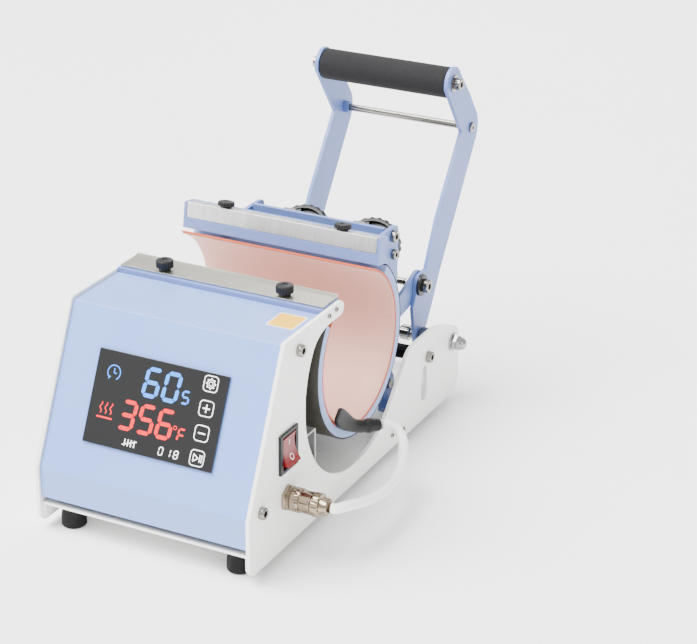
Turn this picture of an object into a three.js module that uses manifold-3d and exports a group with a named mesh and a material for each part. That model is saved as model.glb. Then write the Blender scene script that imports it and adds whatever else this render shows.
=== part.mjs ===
// Mug heat press: a sheet-metal box and two side plates carry an open heater wrap,
// whose rear part is closed around a mug by a hinged clamp frame and a hand lever.
// Millimetres. X runs across the machine to its right side, Y from front to back, Z up.

import * as THREE from "three";
import { mergeVertices } from "three/addons/utils/BufferGeometryUtils.js";
import Module from "manifold-3d";

const wasm = await Module();
wasm.setup();

// ---- Driving dimensions ------------------------------------------------------------------

const GAP = 0.3; // assembly gap between touching pieces
const INNER_HALF = 86; // centre plane to the inside of a side plate
const PLATE = 3; // side plate thickness
const OUTER_HALF = INNER_HALF + PLATE;
const FIT_HALF = INNER_HALF - GAP; // half length of what fits between the side plates
const UNDERSIDE = 6; // lower edge of the side plates above the floor
const TOP_EDGE = 165.5; // upper edge of the side plates
const BASE_TOP = 22; // upper face of the base pan
const SHEET = 1.5; // cover sheet thickness

// Centres in the side view, as [y, z]
const LEVER_PIVOT = [336, 53];
const CROSS_PIN = [278, 161];
const FRAME_PIVOT = [262, 42];
const STOP_BAR = [289, 59];
const HOOK_BOLT = [335, 98];
const CRANK = HOOK_BOLT; // rear pivot of the pressure rods
const GRIP = [391, 253];
const CROSS_ROD = [427.6, 205];
const LEVER_TRAVEL = THREE.MathUtils.degToRad(28);

const SHAFT_R = 4;
const RUN_R = SHAFT_R + GAP; // hole for a turning shaft
const SCREW_R = 3;
const SCREW_HOLE_R = SCREW_R + GAP;

const WRAP = { y: 179, z: 109, inner: 58.5, mat: 61, pad: 68.5, half: 84 };
const U_CUT = { y: 160, z: 100.5, r: 78 };

const ARM_IN = 57; // lever arm, inner face
const ARM_T = 3;
const ARM_OUT = ARM_IN + ARM_T;
const FRAME_ARM_IN = 58.5;
const FRAME_ARM_OUT = 61.5;
const ROD_X = 31; // pressure rods and hand wheels
const WHEEL = { along: 31, r: 26, t: 11 }; // along the rod from the cross pin

const FACE_BEND = [2, 50.5]; // cover: upright lip to sloped face
const FACE_FOLD = [54.5, 163]; // cover: sloped face to flat top
const FACE_LEAN = Math.atan2(FACE_FOLD[0] - FACE_BEND[0], FACE_FOLD[1] - FACE_BEND[1]);
const JAW_LEAN = THREE.MathUtils.degToRad(10);
const JAW_Y = 205.5;
const JAW_Z = 166.6;

const SWITCH = [55, 83];
const ROCKER_THROW = THREE.MathUtils.degToRad(22);
const SOCKET = [55, 45];
const INLET = [58, 62];

// ---- Finishes ----------------------------------------------------------------------------

function finish(color, roughness, metalness = 0) {
  return () => new THREE.MeshStandardMaterial({ color, roughness, metalness });
}
const whitePaint = finish(0xe3e3df, 0.45);
const bluePaint = finish(0xa9b6d6, 0.42);
const coverPaint = finish(0xbccae8, 0.4);
const galvanised = finish(0xb4b6b4, 0.45, 0.6);
const brightSteel = finish(0xc9c6bf, 0.25, 0.9);
const nickel = finish(0xcbbba5, 0.22, 0.9);
const brushedAluminium = finish(0xd5d5d5, 0.35, 0.9);
const blackPlastic = finish(0x1c1c1e, 0.5);
const blackGlass = finish(0x050506, 0.08);
const blackRubber = finish(0x18181a, 0.8);
const foam = finish(0x2a2a2b, 0.95);
const redPlastic = finish(0xa8202c, 0.25);
const silicone = finish(0xd9b3a4, 0.7);
const sponge = finish(0x9fb0d4, 0.85);
const whiteCable = finish(0xf0f0ec, 0.5);
const boardGreen = finish(0x1f5b3a, 0.6);

// ---- Geometry helpers --------------------------------------------------------------------

function toSolid(geometry) {
  const plain = geometry.clone();
  plain.deleteAttribute("normal");
  plain.deleteAttribute("uv");
  const merged = mergeVertices(plain, 1e-4);
  return new wasm.Manifold(
    new wasm.Mesh({
      numProp: 3,
      vertProperties: merged.attributes.position.array,
      triVerts: new Uint32Array(merged.index.array),
    }),
  );
}

function toGeometry(solid) {
  const mesh = solid.getMesh();
  const geometry = new THREE.BufferGeometry();
  geometry.setAttribute("position", new THREE.BufferAttribute(mesh.vertProperties, 3));
  geometry.setIndex(new THREE.BufferAttribute(mesh.triVerts, 1));
  geometry.computeVertexNormals();
  return geometry;
}

function cut(body, ...tools) {
  return toGeometry(tools.reduce((left, tool) => left.subtract(toSolid(tool)), toSolid(body)));
}

function join(body, ...others) {
  return toGeometry(others.reduce((sum, other) => sum.add(toSolid(other)), toSolid(body)));
}

// Outline drawn in the side view (y, z), given thickness along X from x0 to x1.
const SIDE_VIEW = new THREE.Matrix4().makeBasis(
  new THREE.Vector3(0, 1, 0),
  new THREE.Vector3(0, 0, 1),
  new THREE.Vector3(1, 0, 0),
);
function sidePlate(shape, x0, x1, curveSegments = 8) {
  const settings = { depth: x1 - x0, bevelEnabled: false, curveSegments };
  return new THREE.ExtrudeGeometry(shape, settings).applyMatrix4(SIDE_VIEW).translate(x0, 0, 0);
}

// Closed outline of a bent sheet: the given line and its copy offset to the right by t.
function sheetOutline(points, t) {
  const line = points.map(([y, z]) => new THREE.Vector2(y, z));
  const normals = line.slice(1).map((p, i) => {
    const d = p.clone().sub(line[i]).normalize();
    return new THREE.Vector2(d.y, -d.x);
  });
  const offset = line.map((p, i) => {
    const before = normals[Math.max(i - 1, 0)];
    const after = normals[Math.min(i, normals.length - 1)];
    const mitre = before.clone().add(after).normalize();
    return p.clone().addScaledVector(mitre, t / mitre.dot(after));
  });
  return new THREE.Shape([...line, ...offset.reverse()]);
}

// Cylinder along X between two planes.
function rodX(r, x0, x1, [y, z], segments = 20) {
  return new THREE.CylinderGeometry(r, r, x1 - x0, segments)
    .rotateZ(Math.PI / 2)
    .translate((x0 + x1) / 2, y, z);
}

// Turned piece along X: profile of [radius, x] from axis to axis, x rising.
function turnedX(profile, [y, z], segments = 16) {
  const points = profile.map(([r, x]) => new THREE.Vector2(r, x));
  return new THREE.LatheGeometry(points, segments).rotateZ(-Math.PI / 2).translate(0, y, z);
}

// Turned piece standing on Z: profile of [radius, z], z rising.
function turnedZ(profile, segments = 16) {
  const points = profile.map(([r, z]) => new THREE.Vector2(r, z));
  return new THREE.LatheGeometry(points, segments).rotateX(Math.PI / 2);
}

function box(x0, x1, y0, y1, z0, z1) {
  return new THREE.BoxGeometry(x1 - x0, y1 - y0, z1 - z0).translate(
    (x0 + x1) / 2,
    (y0 + y1) / 2,
    (z0 + z1) / 2,
  );
}

// Ring sector of the heater wrap, angles in degrees from +Y towards +Z.
function wrapSector(inner, outer, from, to) {
  const shape = new THREE.Shape();
  const [a, b] = [from, to].map(THREE.MathUtils.degToRad);
  shape.absarc(WRAP.y, WRAP.z, outer, a, b, false);
  shape.absarc(WRAP.y, WRAP.z, inner, b, a, true);
  shape.closePath();
  return sidePlate(shape, -WRAP.half, WRAP.half, 14);
}

const machine = new THREE.Group();

function place(name, geometry, material, parent = machine) {
  const mesh = new THREE.Mesh(geometry, material());
  mesh.name = name;
  parent.add(mesh);
  return mesh;
}

// Names and mirrors the two copies of a piece that is drawn for the right side.
function placePair(name, rightGeometry, material, parent = machine) {
  place(name + "_right", rightGeometry, material, parent);
  const left = toGeometry(toSolid(rightGeometry).mirror([1, 0, 0]));
  place(name + "_left", left, material, parent);
}

// ---- Side plates -------------------------------------------------------------------------

function plateOutline() {
  const corner = 8;
  const ear = 13.5;
  const s = new THREE.Shape();
  s.moveTo(corner, UNDERSIDE);
  s.lineTo(335.5, UNDERSIDE);
  s.absarc(335.5, UNDERSIDE + 14, 14, -Math.PI / 2, 0, false);
  s.lineTo(349.5, LEVER_PIVOT[1]);
  s.absarc(LEVER_PIVOT[0], LEVER_PIVOT[1], ear, 0, 1.2, false);
  s.quadraticCurveTo(312, 79.5, 294, 80.2);
  s.lineTo(264, 80.2);
  s.quadraticCurveTo(252, 79.5, 246, 70.5);
  s.lineTo(217, 40.5);
  s.quadraticCurveTo(196, U_CUT.z - U_CUT.r, 166, U_CUT.z - U_CUT.r);
  s.absarc(U_CUT.y, U_CUT.z, U_CUT.r, -Math.PI / 2, Math.PI * 0.815, true);
  s.quadraticCurveTo(104, 154.5, 123, 154.5);
  s.lineTo(136, 154.5);
  s.absarc(136, TOP_EDGE - 5.5, 5.5, -Math.PI / 2, Math.PI / 2, false);
  s.lineTo(55.5, TOP_EDGE);
  s.quadraticCurveTo(53, TOP_EDGE, 52, 163.2);
  s.lineTo(0, 51);
  s.lineTo(0, UNDERSIDE + corner);
  s.absarc(corner, UNDERSIDE + corner, corner, Math.PI, Math.PI * 1.5, false);
  return s;
}

const COVER_SCREWS = [
  [16.7, 50.9],
  [73, 152.6],
];

function sidePlates() {
  const plate = sidePlate(plateOutline(), INNER_HALF, OUTER_HALF, 10);
  const through = (r, at) => rodX(r, INNER_HALF - 1, OUTER_HALF + 1, at, 16);
  const slot = new THREE.Shape();
  slot.absarc(283, 28, 5, Math.PI, 0, false);
  slot.absarc(283, 48, 5, 0, Math.PI, false);
  const common = [
    through(RUN_R, LEVER_PIVOT),
    through(SCREW_HOLE_R, STOP_BAR),
    ...COVER_SCREWS.map((at) => through(SCREW_HOLE_R, at)),
    sidePlate(slot, INNER_HALF - 1, OUTER_HALF + 1),
  ];
  const drilled = cut(plate, ...common);
  const [sy, sz] = SWITCH;
  const rightCuts = [
    box(INNER_HALF - 1, OUTER_HALF + 1, sy - 11.5, sy + 11.5, sz - 14, sz + 14),
    through(8.3, SOCKET),
  ];
  place("side_plate_right", cut(drilled, ...rightCuts), whitePaint);
  const left = toGeometry(toSolid(drilled).mirror([1, 0, 0]));
  const [iy, iz] = INLET;
  const inletCut = box(-OUTER_HALF - 1, -INNER_HALF + 1, iy - 14, iy + 14, iz - 10.5, iz + 10.5);
  place("side_plate_left", cut(left, inletCut), whitePaint);
}

// ---- Box: cover, touch panel, rear wall, base pan, feet ----------------------------------

const PANEL = { x: -1.2, z: 60.8, w: 107, h: 68.5 }; // on the sloped face, z up the slope

function faceGroup() {
  const group = new THREE.Group();
  group.position.set(0, FACE_BEND[0], FACE_BEND[1]);
  group.rotation.x = -FACE_LEAN;
  group.updateMatrix();
  return group;
}

function panelBox(w, h, y0, y1) {
  const { x, z } = PANEL;
  return box(x - w / 2, x + w / 2, y0, y1, z - h / 2, z + h / 2);
}

function frontCover() {
  const outline = sheetOutline([[2, 27], FACE_BEND, FACE_FOLD, [112.8, 163]], SHEET);
  const sheet = sidePlate(outline, -FIT_HALF, FIT_HALF);
  const face = faceGroup();
  const opening = panelBox(PANEL.w - 8, PANEL.h - 8, -2, 4).applyMatrix4(face.matrix);
  place("front_cover", cut(sheet, opening), coverPaint);
  const glass = panelBox(PANEL.w, PANEL.h, -GAP - 1.6, -GAP);
  const module = panelBox(PANEL.w - 10, PANEL.h - 10, -GAP - 0.5, 10);
  place("touch_panel", join(glass, module), blackGlass, face);
  machine.add(face);
}

function rearWall() {
  const outline = sheetOutline(
    [
      [111, 155],
      [88, 141],
      [88, 76],
      [103, 76],
      [103, BASE_TOP + GAP],
    ],
    -1.2,
  );
  place("box_rear_wall", sidePlate(outline, -FIT_HALF, FIT_HALF), galvanised);
}

function basePan() {
  const t = 2;
  const flange = 12;
  const shape = new THREE.Shape();
  shape.moveTo(-FIT_HALF, BASE_TOP);
  shape.lineTo(-FIT_HALF, BASE_TOP - flange);
  shape.lineTo(-FIT_HALF + t, BASE_TOP - flange);
  shape.lineTo(-FIT_HALF + t, BASE_TOP - t);
  shape.lineTo(FIT_HALF - t, BASE_TOP - t);
  shape.lineTo(FIT_HALF - t, BASE_TOP - flange);
  shape.lineTo(FIT_HALF, BASE_TOP - flange);
  shape.lineTo(FIT_HALF, BASE_TOP);
  const length = 339;
  const pan = new THREE.ExtrudeGeometry(shape, { depth: length, bevelEnabled: false });
  pan.rotateX(Math.PI / 2).translate(0, 3 + length, 0);
  place("base_pan", pan, whitePaint);
}

function feet() {
  const height = BASE_TOP - 2 - GAP;
  const profile = [
    [0, 0],
    [8.5, 0],
    [9.5, 1.2],
    [9.5, 6],
    [8, height],
    [0, height],
  ];
  for (const [side, x] of [["left", -70], ["right", 70]]) {
    for (const [end, y] of [["front", 19], ["rear", 322]]) {
      const foot = place(`foot_${end}_${side}`, turnedZ(profile), blackRubber);
      foot.position.set(x, y, 0);
    }
  }
}

// Socket-head screw along +X: shank from x0 to the head's seat, then the head.
function capScrew(x0, seat, at, headR = 5, headH = 5) {
  const socket = 2.5;
  const profile = [
    [0, x0],
    [SCREW_R, x0],
    [SCREW_R, seat],
    [headR, seat],
    [headR, seat + headH - 0.6],
    [headR - 0.6, seat + headH],
    [socket, seat + headH],
    [socket, seat + headH - 2.5],
    [0, seat + headH - 2.5],
  ];
  return turnedX(profile, at, 12);
}

function coverScrews() {
  COVER_SCREWS.forEach((at, i) => {
    const screw = capScrew(INNER_HALF - 6, OUTER_HALF + GAP, at, 5, 4);
    placePair(i ? "cover_screw_upper" : "cover_screw_lower", screw, brightSteel);
  });
}

// ---- Front clamp -------------------------------------------------------------------------

const KNOB_X = 50.5;
const FRONT_KNOB_Y = 123;
const LEDGE_TOP = 166.3;

// Thumb screw standing on Z = 0, its shank reaching down by depth.
function thumbScrew(depth, height) {
  const profile = [
    [0, -depth],
    [2.5, -depth],
    [2.5, 0],
    [4.5, 0],
    [4.5, 0.15 * height],
    [6.6, 0.3 * height],
    [6.6, height - 0.8],
    [5.8, height],
    [0, height],
  ];
  return turnedZ(profile);
}

function screwHoleZ(x, y, z0, z1, r = 2.8) {
  return new THREE.CylinderGeometry(r, r, z1 - z0, 16)
    .rotateX(Math.PI / 2)
    .translate(x, y, (z0 + z1) / 2);
}

function frontClamp() {
  const holes = [-KNOB_X, KNOB_X].map((x) => screwHoleZ(x, FRONT_KNOB_Y, 150, 180));
  const bar = box(-FIT_HALF, FIT_HALF, 113.1, 139.3, 157, LEDGE_TOP);
  place("front_clamp_bar", cut(bar, ...holes), bluePaint);
  const low = LEDGE_TOP + GAP;
  const strip = sheetOutline(
    [
      [116.5, low],
      [133, low],
      [138, low + 0.3],
      [140.5, low + 1.2],
    ],
    -1.1,
  );
  const plate = cut(sidePlate(strip, -85, 85), ...holes);
  place("front_clamp_strip", plate, brightSteel);
  for (const [side, x] of [["left", -KNOB_X], ["right", KNOB_X]]) {
    const knob = place(`front_knob_${side}`, thumbScrew(8, 8), blackPlastic);
    knob.position.set(x, FRONT_KNOB_Y, low + 1.1 + GAP);
  }
}

// ---- Controls on the side plates, and the boards inside ----------------------------------

function rockerSwitch() {
  const [y, z] = SWITCH;
  const [w, h] = [26, 31];
  const bezel = box(OUTER_HALF + GAP, OUTER_HALF + 2.3, y - w / 2, y + w / 2, z - h / 2, z + h / 2);
  const body = box(62, OUTER_HALF + 1, y - 11.2, y + 11.2, z - 13.7, z + 13.7);
  const recess = box(76, 95, y - 9.3, y + 9.3, z - 12.8, z + 12.8);
  place("switch_housing", cut(join(bezel, body), recess), blackPlastic);

  // In front view the rocker is a shallow V, here pressed in at its top.
  const s = new THREE.Shape();
  s.moveTo(-4, 10.2);
  s.lineTo(8, 11);
  s.quadraticCurveTo(2, 0, 8, -11);
  s.lineTo(-4, -10.2);
  const settings = { depth: 17.6, bevelEnabled: false, curveSegments: 8 };
  const rocker = new THREE.ExtrudeGeometry(s, settings).rotateX(Math.PI / 2).translate(0, 8.8, 0);
  const mesh = place("switch_rocker", rocker, redPlastic);
  mesh.position.set(INNER_HALF, y, z);
  mesh.rotation.y = -ROCKER_THROW / 2;
}

function panelSocket() {
  const profile = [
    [0, 70],
    [6.5, 70],
    [8, 72],
    [8, OUTER_HALF + GAP],
    [10.2, OUTER_HALF + GAP],
    [10.2, OUTER_HALF + 1.8],
    [8.8, OUTER_HALF + 2],
    [8.8, OUTER_HALF + 5],
    [6, OUTER_HALF + 5],
    [6, OUTER_HALF + 1],
    [0, OUTER_HALF + 1],
  ];
  place("panel_socket", turnedX(profile, SOCKET), nickel);
}

function mainsInlet() {
  const [y, z] = INLET;
  const outside = -OUTER_HALF - GAP;
  const flange = box(outside - 2, outside, y - 24, y + 24, z - 12.5, z + 12.5);
  const shell = box(outside - 1, -70, y - 13.7, y + 13.7, z - 10.2, z + 10.2);
  const recess = box(outside - 4, -74, y - 12, y + 12, z - 8, z + 8);
  const pins = [-7, 0, 7].map((dy) =>
    box(-86, -73, y + dy - 1, y + dy + 1, z + (dy ? -1 : 1) - 2, z + (dy ? -1 : 1) + 2),
  );
  const housing = cut(join(flange, shell), recess);
  place("mains_inlet", join(housing, ...pins), blackPlastic);
}

function controlBoard() {
  const board = box(-78, 34, 18, 80, 30, 31.6);
  const parts = [
    box(-70, -48, 40, 74, 31, 52),
    box(-40, -22, 44, 70, 31, 47),
    box(-14, 8, 26, 74, 31, 49),
    box(14, 30, 30, 46, 31, 44),
  ];
  const posts = [-72, 28].flatMap((x) => [24, 74].map((y) => box(x - 3, x + 3, y - 3, y + 3, 22.3, 31)));
  place("control_board", join(board, ...parts, ...posts), boardGreen);
}

// ---- Heater wrap -------------------------------------------------------------------------

const PAD_INNER = WRAP.mat + GAP;

function heaterWrap() {
  const front = { mat: [128, 315], pad: [143, 315] };
  const rear = { mat: [-15, 67.5], pad: [-15, 50] };
  place("front_heater_mat", wrapSector(WRAP.inner, WRAP.mat, ...front.mat), silicone);
  place("front_heater_pad", wrapSector(PAD_INNER, WRAP.pad, ...front.pad), sponge);
  place("rear_heater_mat", wrapSector(WRAP.inner, WRAP.mat, ...rear.mat), silicone);
  place("rear_heater_pad", wrapSector(PAD_INNER, WRAP.pad, ...rear.pad), sponge);
}

// ---- Heater cable ------------------------------------------------------------------------

const CABLE_R = 3.8;
const BOOT_END = [104, 174, 53];
const CABLE_ROUTE = [
  [104.9, 175, 52.9],
  [108.4, 178.2, 52],
  [112.7, 180, 50.1],
  [117.4, 179.2, 47.2],
  [121.8, 175.2, 44],
  [125.8, 168.6, 41],
  [129.4, 160, 38.4],
  [132.8, 150, 36.2],
  [135.4, 137, 34.2],
  [136.8, 124, 33.6],
  [137, 111, 34.2],
  [136.2, 98, 35.8],
  [134.8, 86, 38.2],
  [133.2, 75, 41],
  [131.6, 66, 43.6],
  [129.8, 58.8, 45],
  [127.2, 55.6, 45],
  [124.2, 55, 45],
];

function heaterCable() {
  const curve = new THREE.CatmullRomCurve3(CABLE_ROUTE.map((p) => new THREE.Vector3(...p)));
  const section = new THREE.Shape();
  section.absarc(0, 0, CABLE_R, 0, Math.PI * 2, false);
  const settings = { steps: 34, bevelEnabled: false, extrudePath: curve, curveSegments: 5 };
  place("heater_cable", new THREE.ExtrudeGeometry(section, settings), whiteCable);
}

function cablePlug() {
  const end = 123.2;
  const profile = [
    [0, 90.4],
    [5.6, 90.4],
    [5.6, 94.6],
    [9, 94.6],
    [9, 98],
    [8, 98.6],
    [8, 114],
    [9, 114.6],
    [9, 118],
    [6.6, 119],
    [6.2, end],
    [0, end],
  ];
  place("cable_plug", turnedX(profile, SOCKET, 28), nickel);
}

// Flat moulded tab over the wrap's end, running into the round sleeve that holds the cable.
function cableBoot() {
  const end = new THREE.Vector3(...BOOT_END);
  const start = new THREE.Vector3(86.5, 156, 55.5);
  const along = end.clone().sub(start);
  const sleeve = new THREE.CylinderGeometry(5, 5.6, along.length(), 16);
  sleeve.applyQuaternion(
    new THREE.Quaternion().setFromUnitVectors(new THREE.Vector3(0, 1, 0), along.clone().normalize()),
  );
  sleeve.translate(...start.clone().add(end).multiplyScalar(0.5));
  const tab = new THREE.Shape();
  tab.moveTo(131, 72);
  tab.lineTo(139, 79);
  tab.lineTo(151, 67);
  tab.lineTo(163, 61);
  tab.lineTo(161, 50);
  tab.lineTo(149, 51);
  tab.lineTo(138, 59);
  const wrapSide = box(60, WRAP.half + GAP, 120, 200, 30, 100);
  const boot = join(sidePlate(tab, WRAP.half, 91), sleeve);
  place("cable_boot", cut(boot, wrapSide), blackRubber);
}

// ---- Rear of the machine: stop bar, lever shaft, frame pivot -----------------------------

function tube(r, bore, x0, x1, at, segments = 20) {
  return cut(rodX(r, x0, x1, at, segments), rodX(bore, x0 - 1, x1 + 1, at, 16));
}

function stopBar() {
  place("stop_bar_sleeve", tube(6, SCREW_HOLE_R, -FIT_HALF, FIT_HALF, STOP_BAR), blackRubber);
  const seat = OUTER_HALF + GAP;
  const rod = turnedX(
    [
      [0, -seat - 4.5],
      [5, -seat - 4.5],
      [5, -seat],
      [SCREW_R, -seat],
      [SCREW_R, seat],
      [5, seat],
      [5, seat + 4.5],
      [0, seat + 4.5],
    ],
    STOP_BAR,
    12,
  );
  place("stop_bar_rod", rod, brightSteel);
}

function leverShaft() {
  place("lever_shaft", rodX(SHAFT_R, -OUTER_HALF, OUTER_HALF, LEVER_PIVOT), brightSteel);
  const seat = OUTER_HALF + GAP;
  const nut = turnedX(
    [
      [0, seat],
      [7.5, seat],
      [7.5, seat + 1.6],
      [5.8, seat + 2],
      [5.8, seat + 6.5],
      [4.8, seat + 7],
      [4.4, seat + 10],
      [2.6, seat + 12],
      [0, seat + 12.6],
    ],
    LEVER_PIVOT,
  );
  placePair("acorn_nut", nut, brightSteel);
}

function framePivot() {
  const [y, z] = FRAME_PIVOT;
  const upright = new THREE.Shape();
  upright.moveTo(y + 12, BASE_TOP + GAP);
  upright.lineTo(y + 10, z);
  upright.absarc(y, z, 10, 0, Math.PI, false);
  upright.lineTo(y - 12, BASE_TOP + GAP);
  const foot = box(67, 80, y - 12, y + 12, BASE_TOP + GAP, BASE_TOP + GAP + 3);
  const bracket = join(sidePlate(upright, 64.5, 67.5), foot);
  placePair("frame_bracket", cut(bracket, rodX(RUN_R, 60, 70, FRAME_PIVOT)), bluePaint);
  place("frame_shaft", rodX(SHAFT_R, -70, 70, FRAME_PIVOT), brightSteel);
}

// ---- Clamp frame -------------------------------------------------------------------------

function frameArms() {
  const [y, z] = FRAME_PIVOT;
  const s = new THREE.Shape();
  s.moveTo(y - 11, z);
  s.absarc(y, z, 11, Math.PI, Math.PI * 2, false);
  s.lineTo(282.2, 54);
  s.lineTo(282.2, 66);
  s.lineTo(288.5, 140);
  s.lineTo(288.5, 161.5);
  s.quadraticCurveTo(288.5, 168, 282, 168);
  s.lineTo(265, 168);
  s.quadraticCurveTo(260, 168, 257, 166);
  s.lineTo(223.1, 183);
  s.lineTo(219.9, 165.6);
  s.lineTo(240, 153);
  s.lineTo(253, 128);
  s.lineTo(252, 84);
  const arm = sidePlate(s, FRAME_ARM_IN, FRAME_ARM_OUT);
  const holes = [FRAME_PIVOT, CROSS_PIN].map((at) => rodX(RUN_R, 50, 70, at, 16));
  placePair("frame_arm", cut(arm, ...holes), bluePaint);
}

function frameCrossbar() {
  const half = FRAME_ARM_IN - GAP;
  place("frame_crossbar", box(-half, half, 268, 271, 158.5, 170), bluePaint);
  const seat = FRAME_ARM_OUT + GAP;
  const profile = [
    [0, -seat - 4],
    [5, -seat - 4],
    [5, -seat],
    [SHAFT_R, -seat],
    [SHAFT_R, seat],
    [5, seat],
    [5, seat + 4],
    [0, seat + 4],
  ];
  place("frame_cross_shaft", turnedX(profile, CROSS_PIN), brightSteel);
}

const REAR_KNOB_Y = 4.7; // on the jaw, from its front edge
const BAR_TOP = 20.7; // above the jaw's underside

function rearJaw() {
  const jaw = new THREE.Group();
  jaw.position.set(0, JAW_Y, JAW_Z);
  jaw.rotation.x = -JAW_LEAN;
  const holes = [-KNOB_X, KNOB_X].map((x) => screwHoleZ(x, REAR_KNOB_Y, 2, 30));
  const block = box(-85, 85, 0, 13, 0, BAR_TOP);
  const seat = box(-82.3, 82.3, -1, 9.4 + GAP, 8.4, BAR_TOP + 1);
  place("rear_jaw", cut(block, seat, ...holes), bluePaint, jaw);
  const bar = box(-82, 82, 0, 9.4, 8.4 + GAP, BAR_TOP);
  place("rear_clamp_bar", cut(bar, ...holes), brushedAluminium, jaw);
  for (const [side, x] of [["left", -KNOB_X], ["right", KNOB_X]]) {
    const knob = place(`rear_knob_${side}`, thumbScrew(17, 5), blackPlastic, jaw);
    knob.position.set(x, REAR_KNOB_Y, BAR_TOP + GAP);
  }
  machine.add(jaw);
}

// ---- Pressure rods and hand wheels -------------------------------------------------------

const CRANK_R = 3;
const ROD_EYE_CLEARANCE = 1.8; // play of the rear eye round the crank shaft

function pressureRods() {
  const [y0, z0] = CROSS_PIN;
  const [y1, z1] = CRANK;
  const length = Math.hypot(y1 - y0, z1 - z0);
  const eye = (r, y, bore) => [
    new THREE.CylinderGeometry(r, r, 8, 20).rotateZ(Math.PI / 2).translate(0, y, 0),
    new THREE.CylinderGeometry(bore, bore, 10, 16).rotateZ(Math.PI / 2).translate(0, y, 0),
  ];
  const [frontEye, frontBore] = eye(6.5, 0, RUN_R);
  const [rearEye, rearBore] = eye(9.5, length, CRANK_R + ROD_EYE_CLEARANCE);
  const bar = new THREE.CylinderGeometry(4, 4, length - 12, 16).translate(0, length / 2, 0);
  const rod = cut(join(bar, frontEye, rearEye), frontBore, rearBore);
  const wheelProfile = [
    [RUN_R, -WHEEL.t / 2],
    [9, -WHEEL.t / 2],
    [10, -WHEEL.t / 2 + 1.5],
    [WHEEL.r - 2, -WHEEL.t / 2 + 0.6],
    [WHEEL.r, -WHEEL.t / 2 + 2],
    [WHEEL.r, WHEEL.t / 2 - 2],
    [WHEEL.r - 2, WHEEL.t / 2],
    [RUN_R, WHEEL.t / 2],
    [RUN_R, -WHEEL.t / 2],
  ];
  const wheel = new THREE.LatheGeometry(
    wheelProfile.map(([r, y]) => new THREE.Vector2(r, y)),
    24,
  );
  for (const [side, x] of [["left", -ROD_X], ["right", ROD_X]]) {
    const line = new THREE.Group();
    line.position.set(x, y0, z0);
    line.rotation.x = Math.atan2(z1 - z0, y1 - y0);
    place(`pressure_rod_${side}`, rod, brightSteel, line);
    place(`pressure_wheel_${side}`, wheel, blackPlastic, line).position.y = WHEEL.along;
    machine.add(line);
  }
}

// ---- Lever -------------------------------------------------------------------------------

function leverArmOutline() {
  const [gy, gz] = GRIP;
  const [py, pz] = LEVER_PIVOT;
  const s = new THREE.Shape();
  s.moveTo(py - 9.2, pz);
  s.absarc(py, pz, 9.2, Math.PI, Math.PI * 2, false);
  s.lineTo(358, 72);
  s.lineTo(372.5, 97.5);
  s.lineTo(437, 190.5);
  s.quadraticCurveTo(446, 203, 438.5, 215.5);
  s.lineTo(423, 236);
  s.lineTo(gy + 12, gz + 6);
  s.absarc(gy, gz, 13.5, 0.45, Math.PI * 1.06, false);
  s.lineTo(409, 206.5);
  s.lineTo(364.5, 145.5);
  s.lineTo(345.5, 108);
  s.lineTo(333, 107.5);
  s.quadraticCurveTo(327, 106, 326.8, 98);
  s.lineTo(326, 90);
  s.lineTo(321.5, 82);
  return s;
}

function leverArms() {
  const arm = sidePlate(leverArmOutline(), ARM_IN, ARM_OUT);
  const boss = rodX(5, ARM_IN - 5, ARM_IN + 1, CROSS_ROD, 20);
  const holes = [
    [LEVER_PIVOT, RUN_R],
    [HOOK_BOLT, SCREW_HOLE_R],
    [GRIP, SCREW_HOLE_R],
    [CROSS_ROD, SCREW_HOLE_R],
  ].map(([at, r]) => rodX(r, ARM_IN - 8, ARM_OUT + 3, at, 16));
  placePair("lever_arm", cut(join(arm, boss), ...holes), bluePaint);
}

// The hook's notch is where the stop bar lies, seen from the lever at the end of its travel.
function stopHooks() {
  const [py, pz] = LEVER_PIVOT;
  const rel = new THREE.Vector2(STOP_BAR[0] - py, STOP_BAR[1] - pz);
  const notch = rel.rotateAround(new THREE.Vector2(), -LEVER_TRAVEL);
  const [ny, nz] = [notch.x + py, notch.y + pz];
  const [hy, hz] = HOOK_BOLT;
  const s = new THREE.Shape();
  s.moveTo(hy + 4, hz - 11);
  s.absarc(hy, hz, 11.7, -1.2, 1.7, false);
  s.lineTo(297, 96.5);
  s.quadraticCurveTo(287, 93, 287.5, 84);
  s.lineTo(ny - 7.3, nz + 2.2);
  s.lineTo(ny + 9, nz + 0.2);
  s.lineTo(319, 82.5);
  const hook = sidePlate(s, ARM_IN - GAP - 3, ARM_IN - GAP);
  const holes = [
    rodX(SCREW_HOLE_R, 50, 60, HOOK_BOLT, 16),
    rodX(6.5, 50, 60, [ny, nz], 24),
  ];
  placePair("stop_hook", cut(hook, ...holes), bluePaint);
  const inner = ARM_IN - 2 * GAP - 3;
  const seat = ARM_OUT + GAP;
  const bolt = turnedX(
    [
      [0, inner - 7],
      [5.6, inner - 7],
      [5.6, inner - 1.5],
      [6.5, inner - 1.5],
      [6.5, inner],
      [SCREW_R, inner],
      [SCREW_R, seat],
      [9, seat],
      [9, seat + 2],
      [5.6, seat + 2],
      [5.6, seat + 8],
      [2.6, seat + 8],
      [2.6, seat + 5],
      [0, seat + 5],
    ],
    HOOK_BOLT,
    14,
  );
  placePair("hook_bolt", bolt, brightSteel);
}

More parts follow.
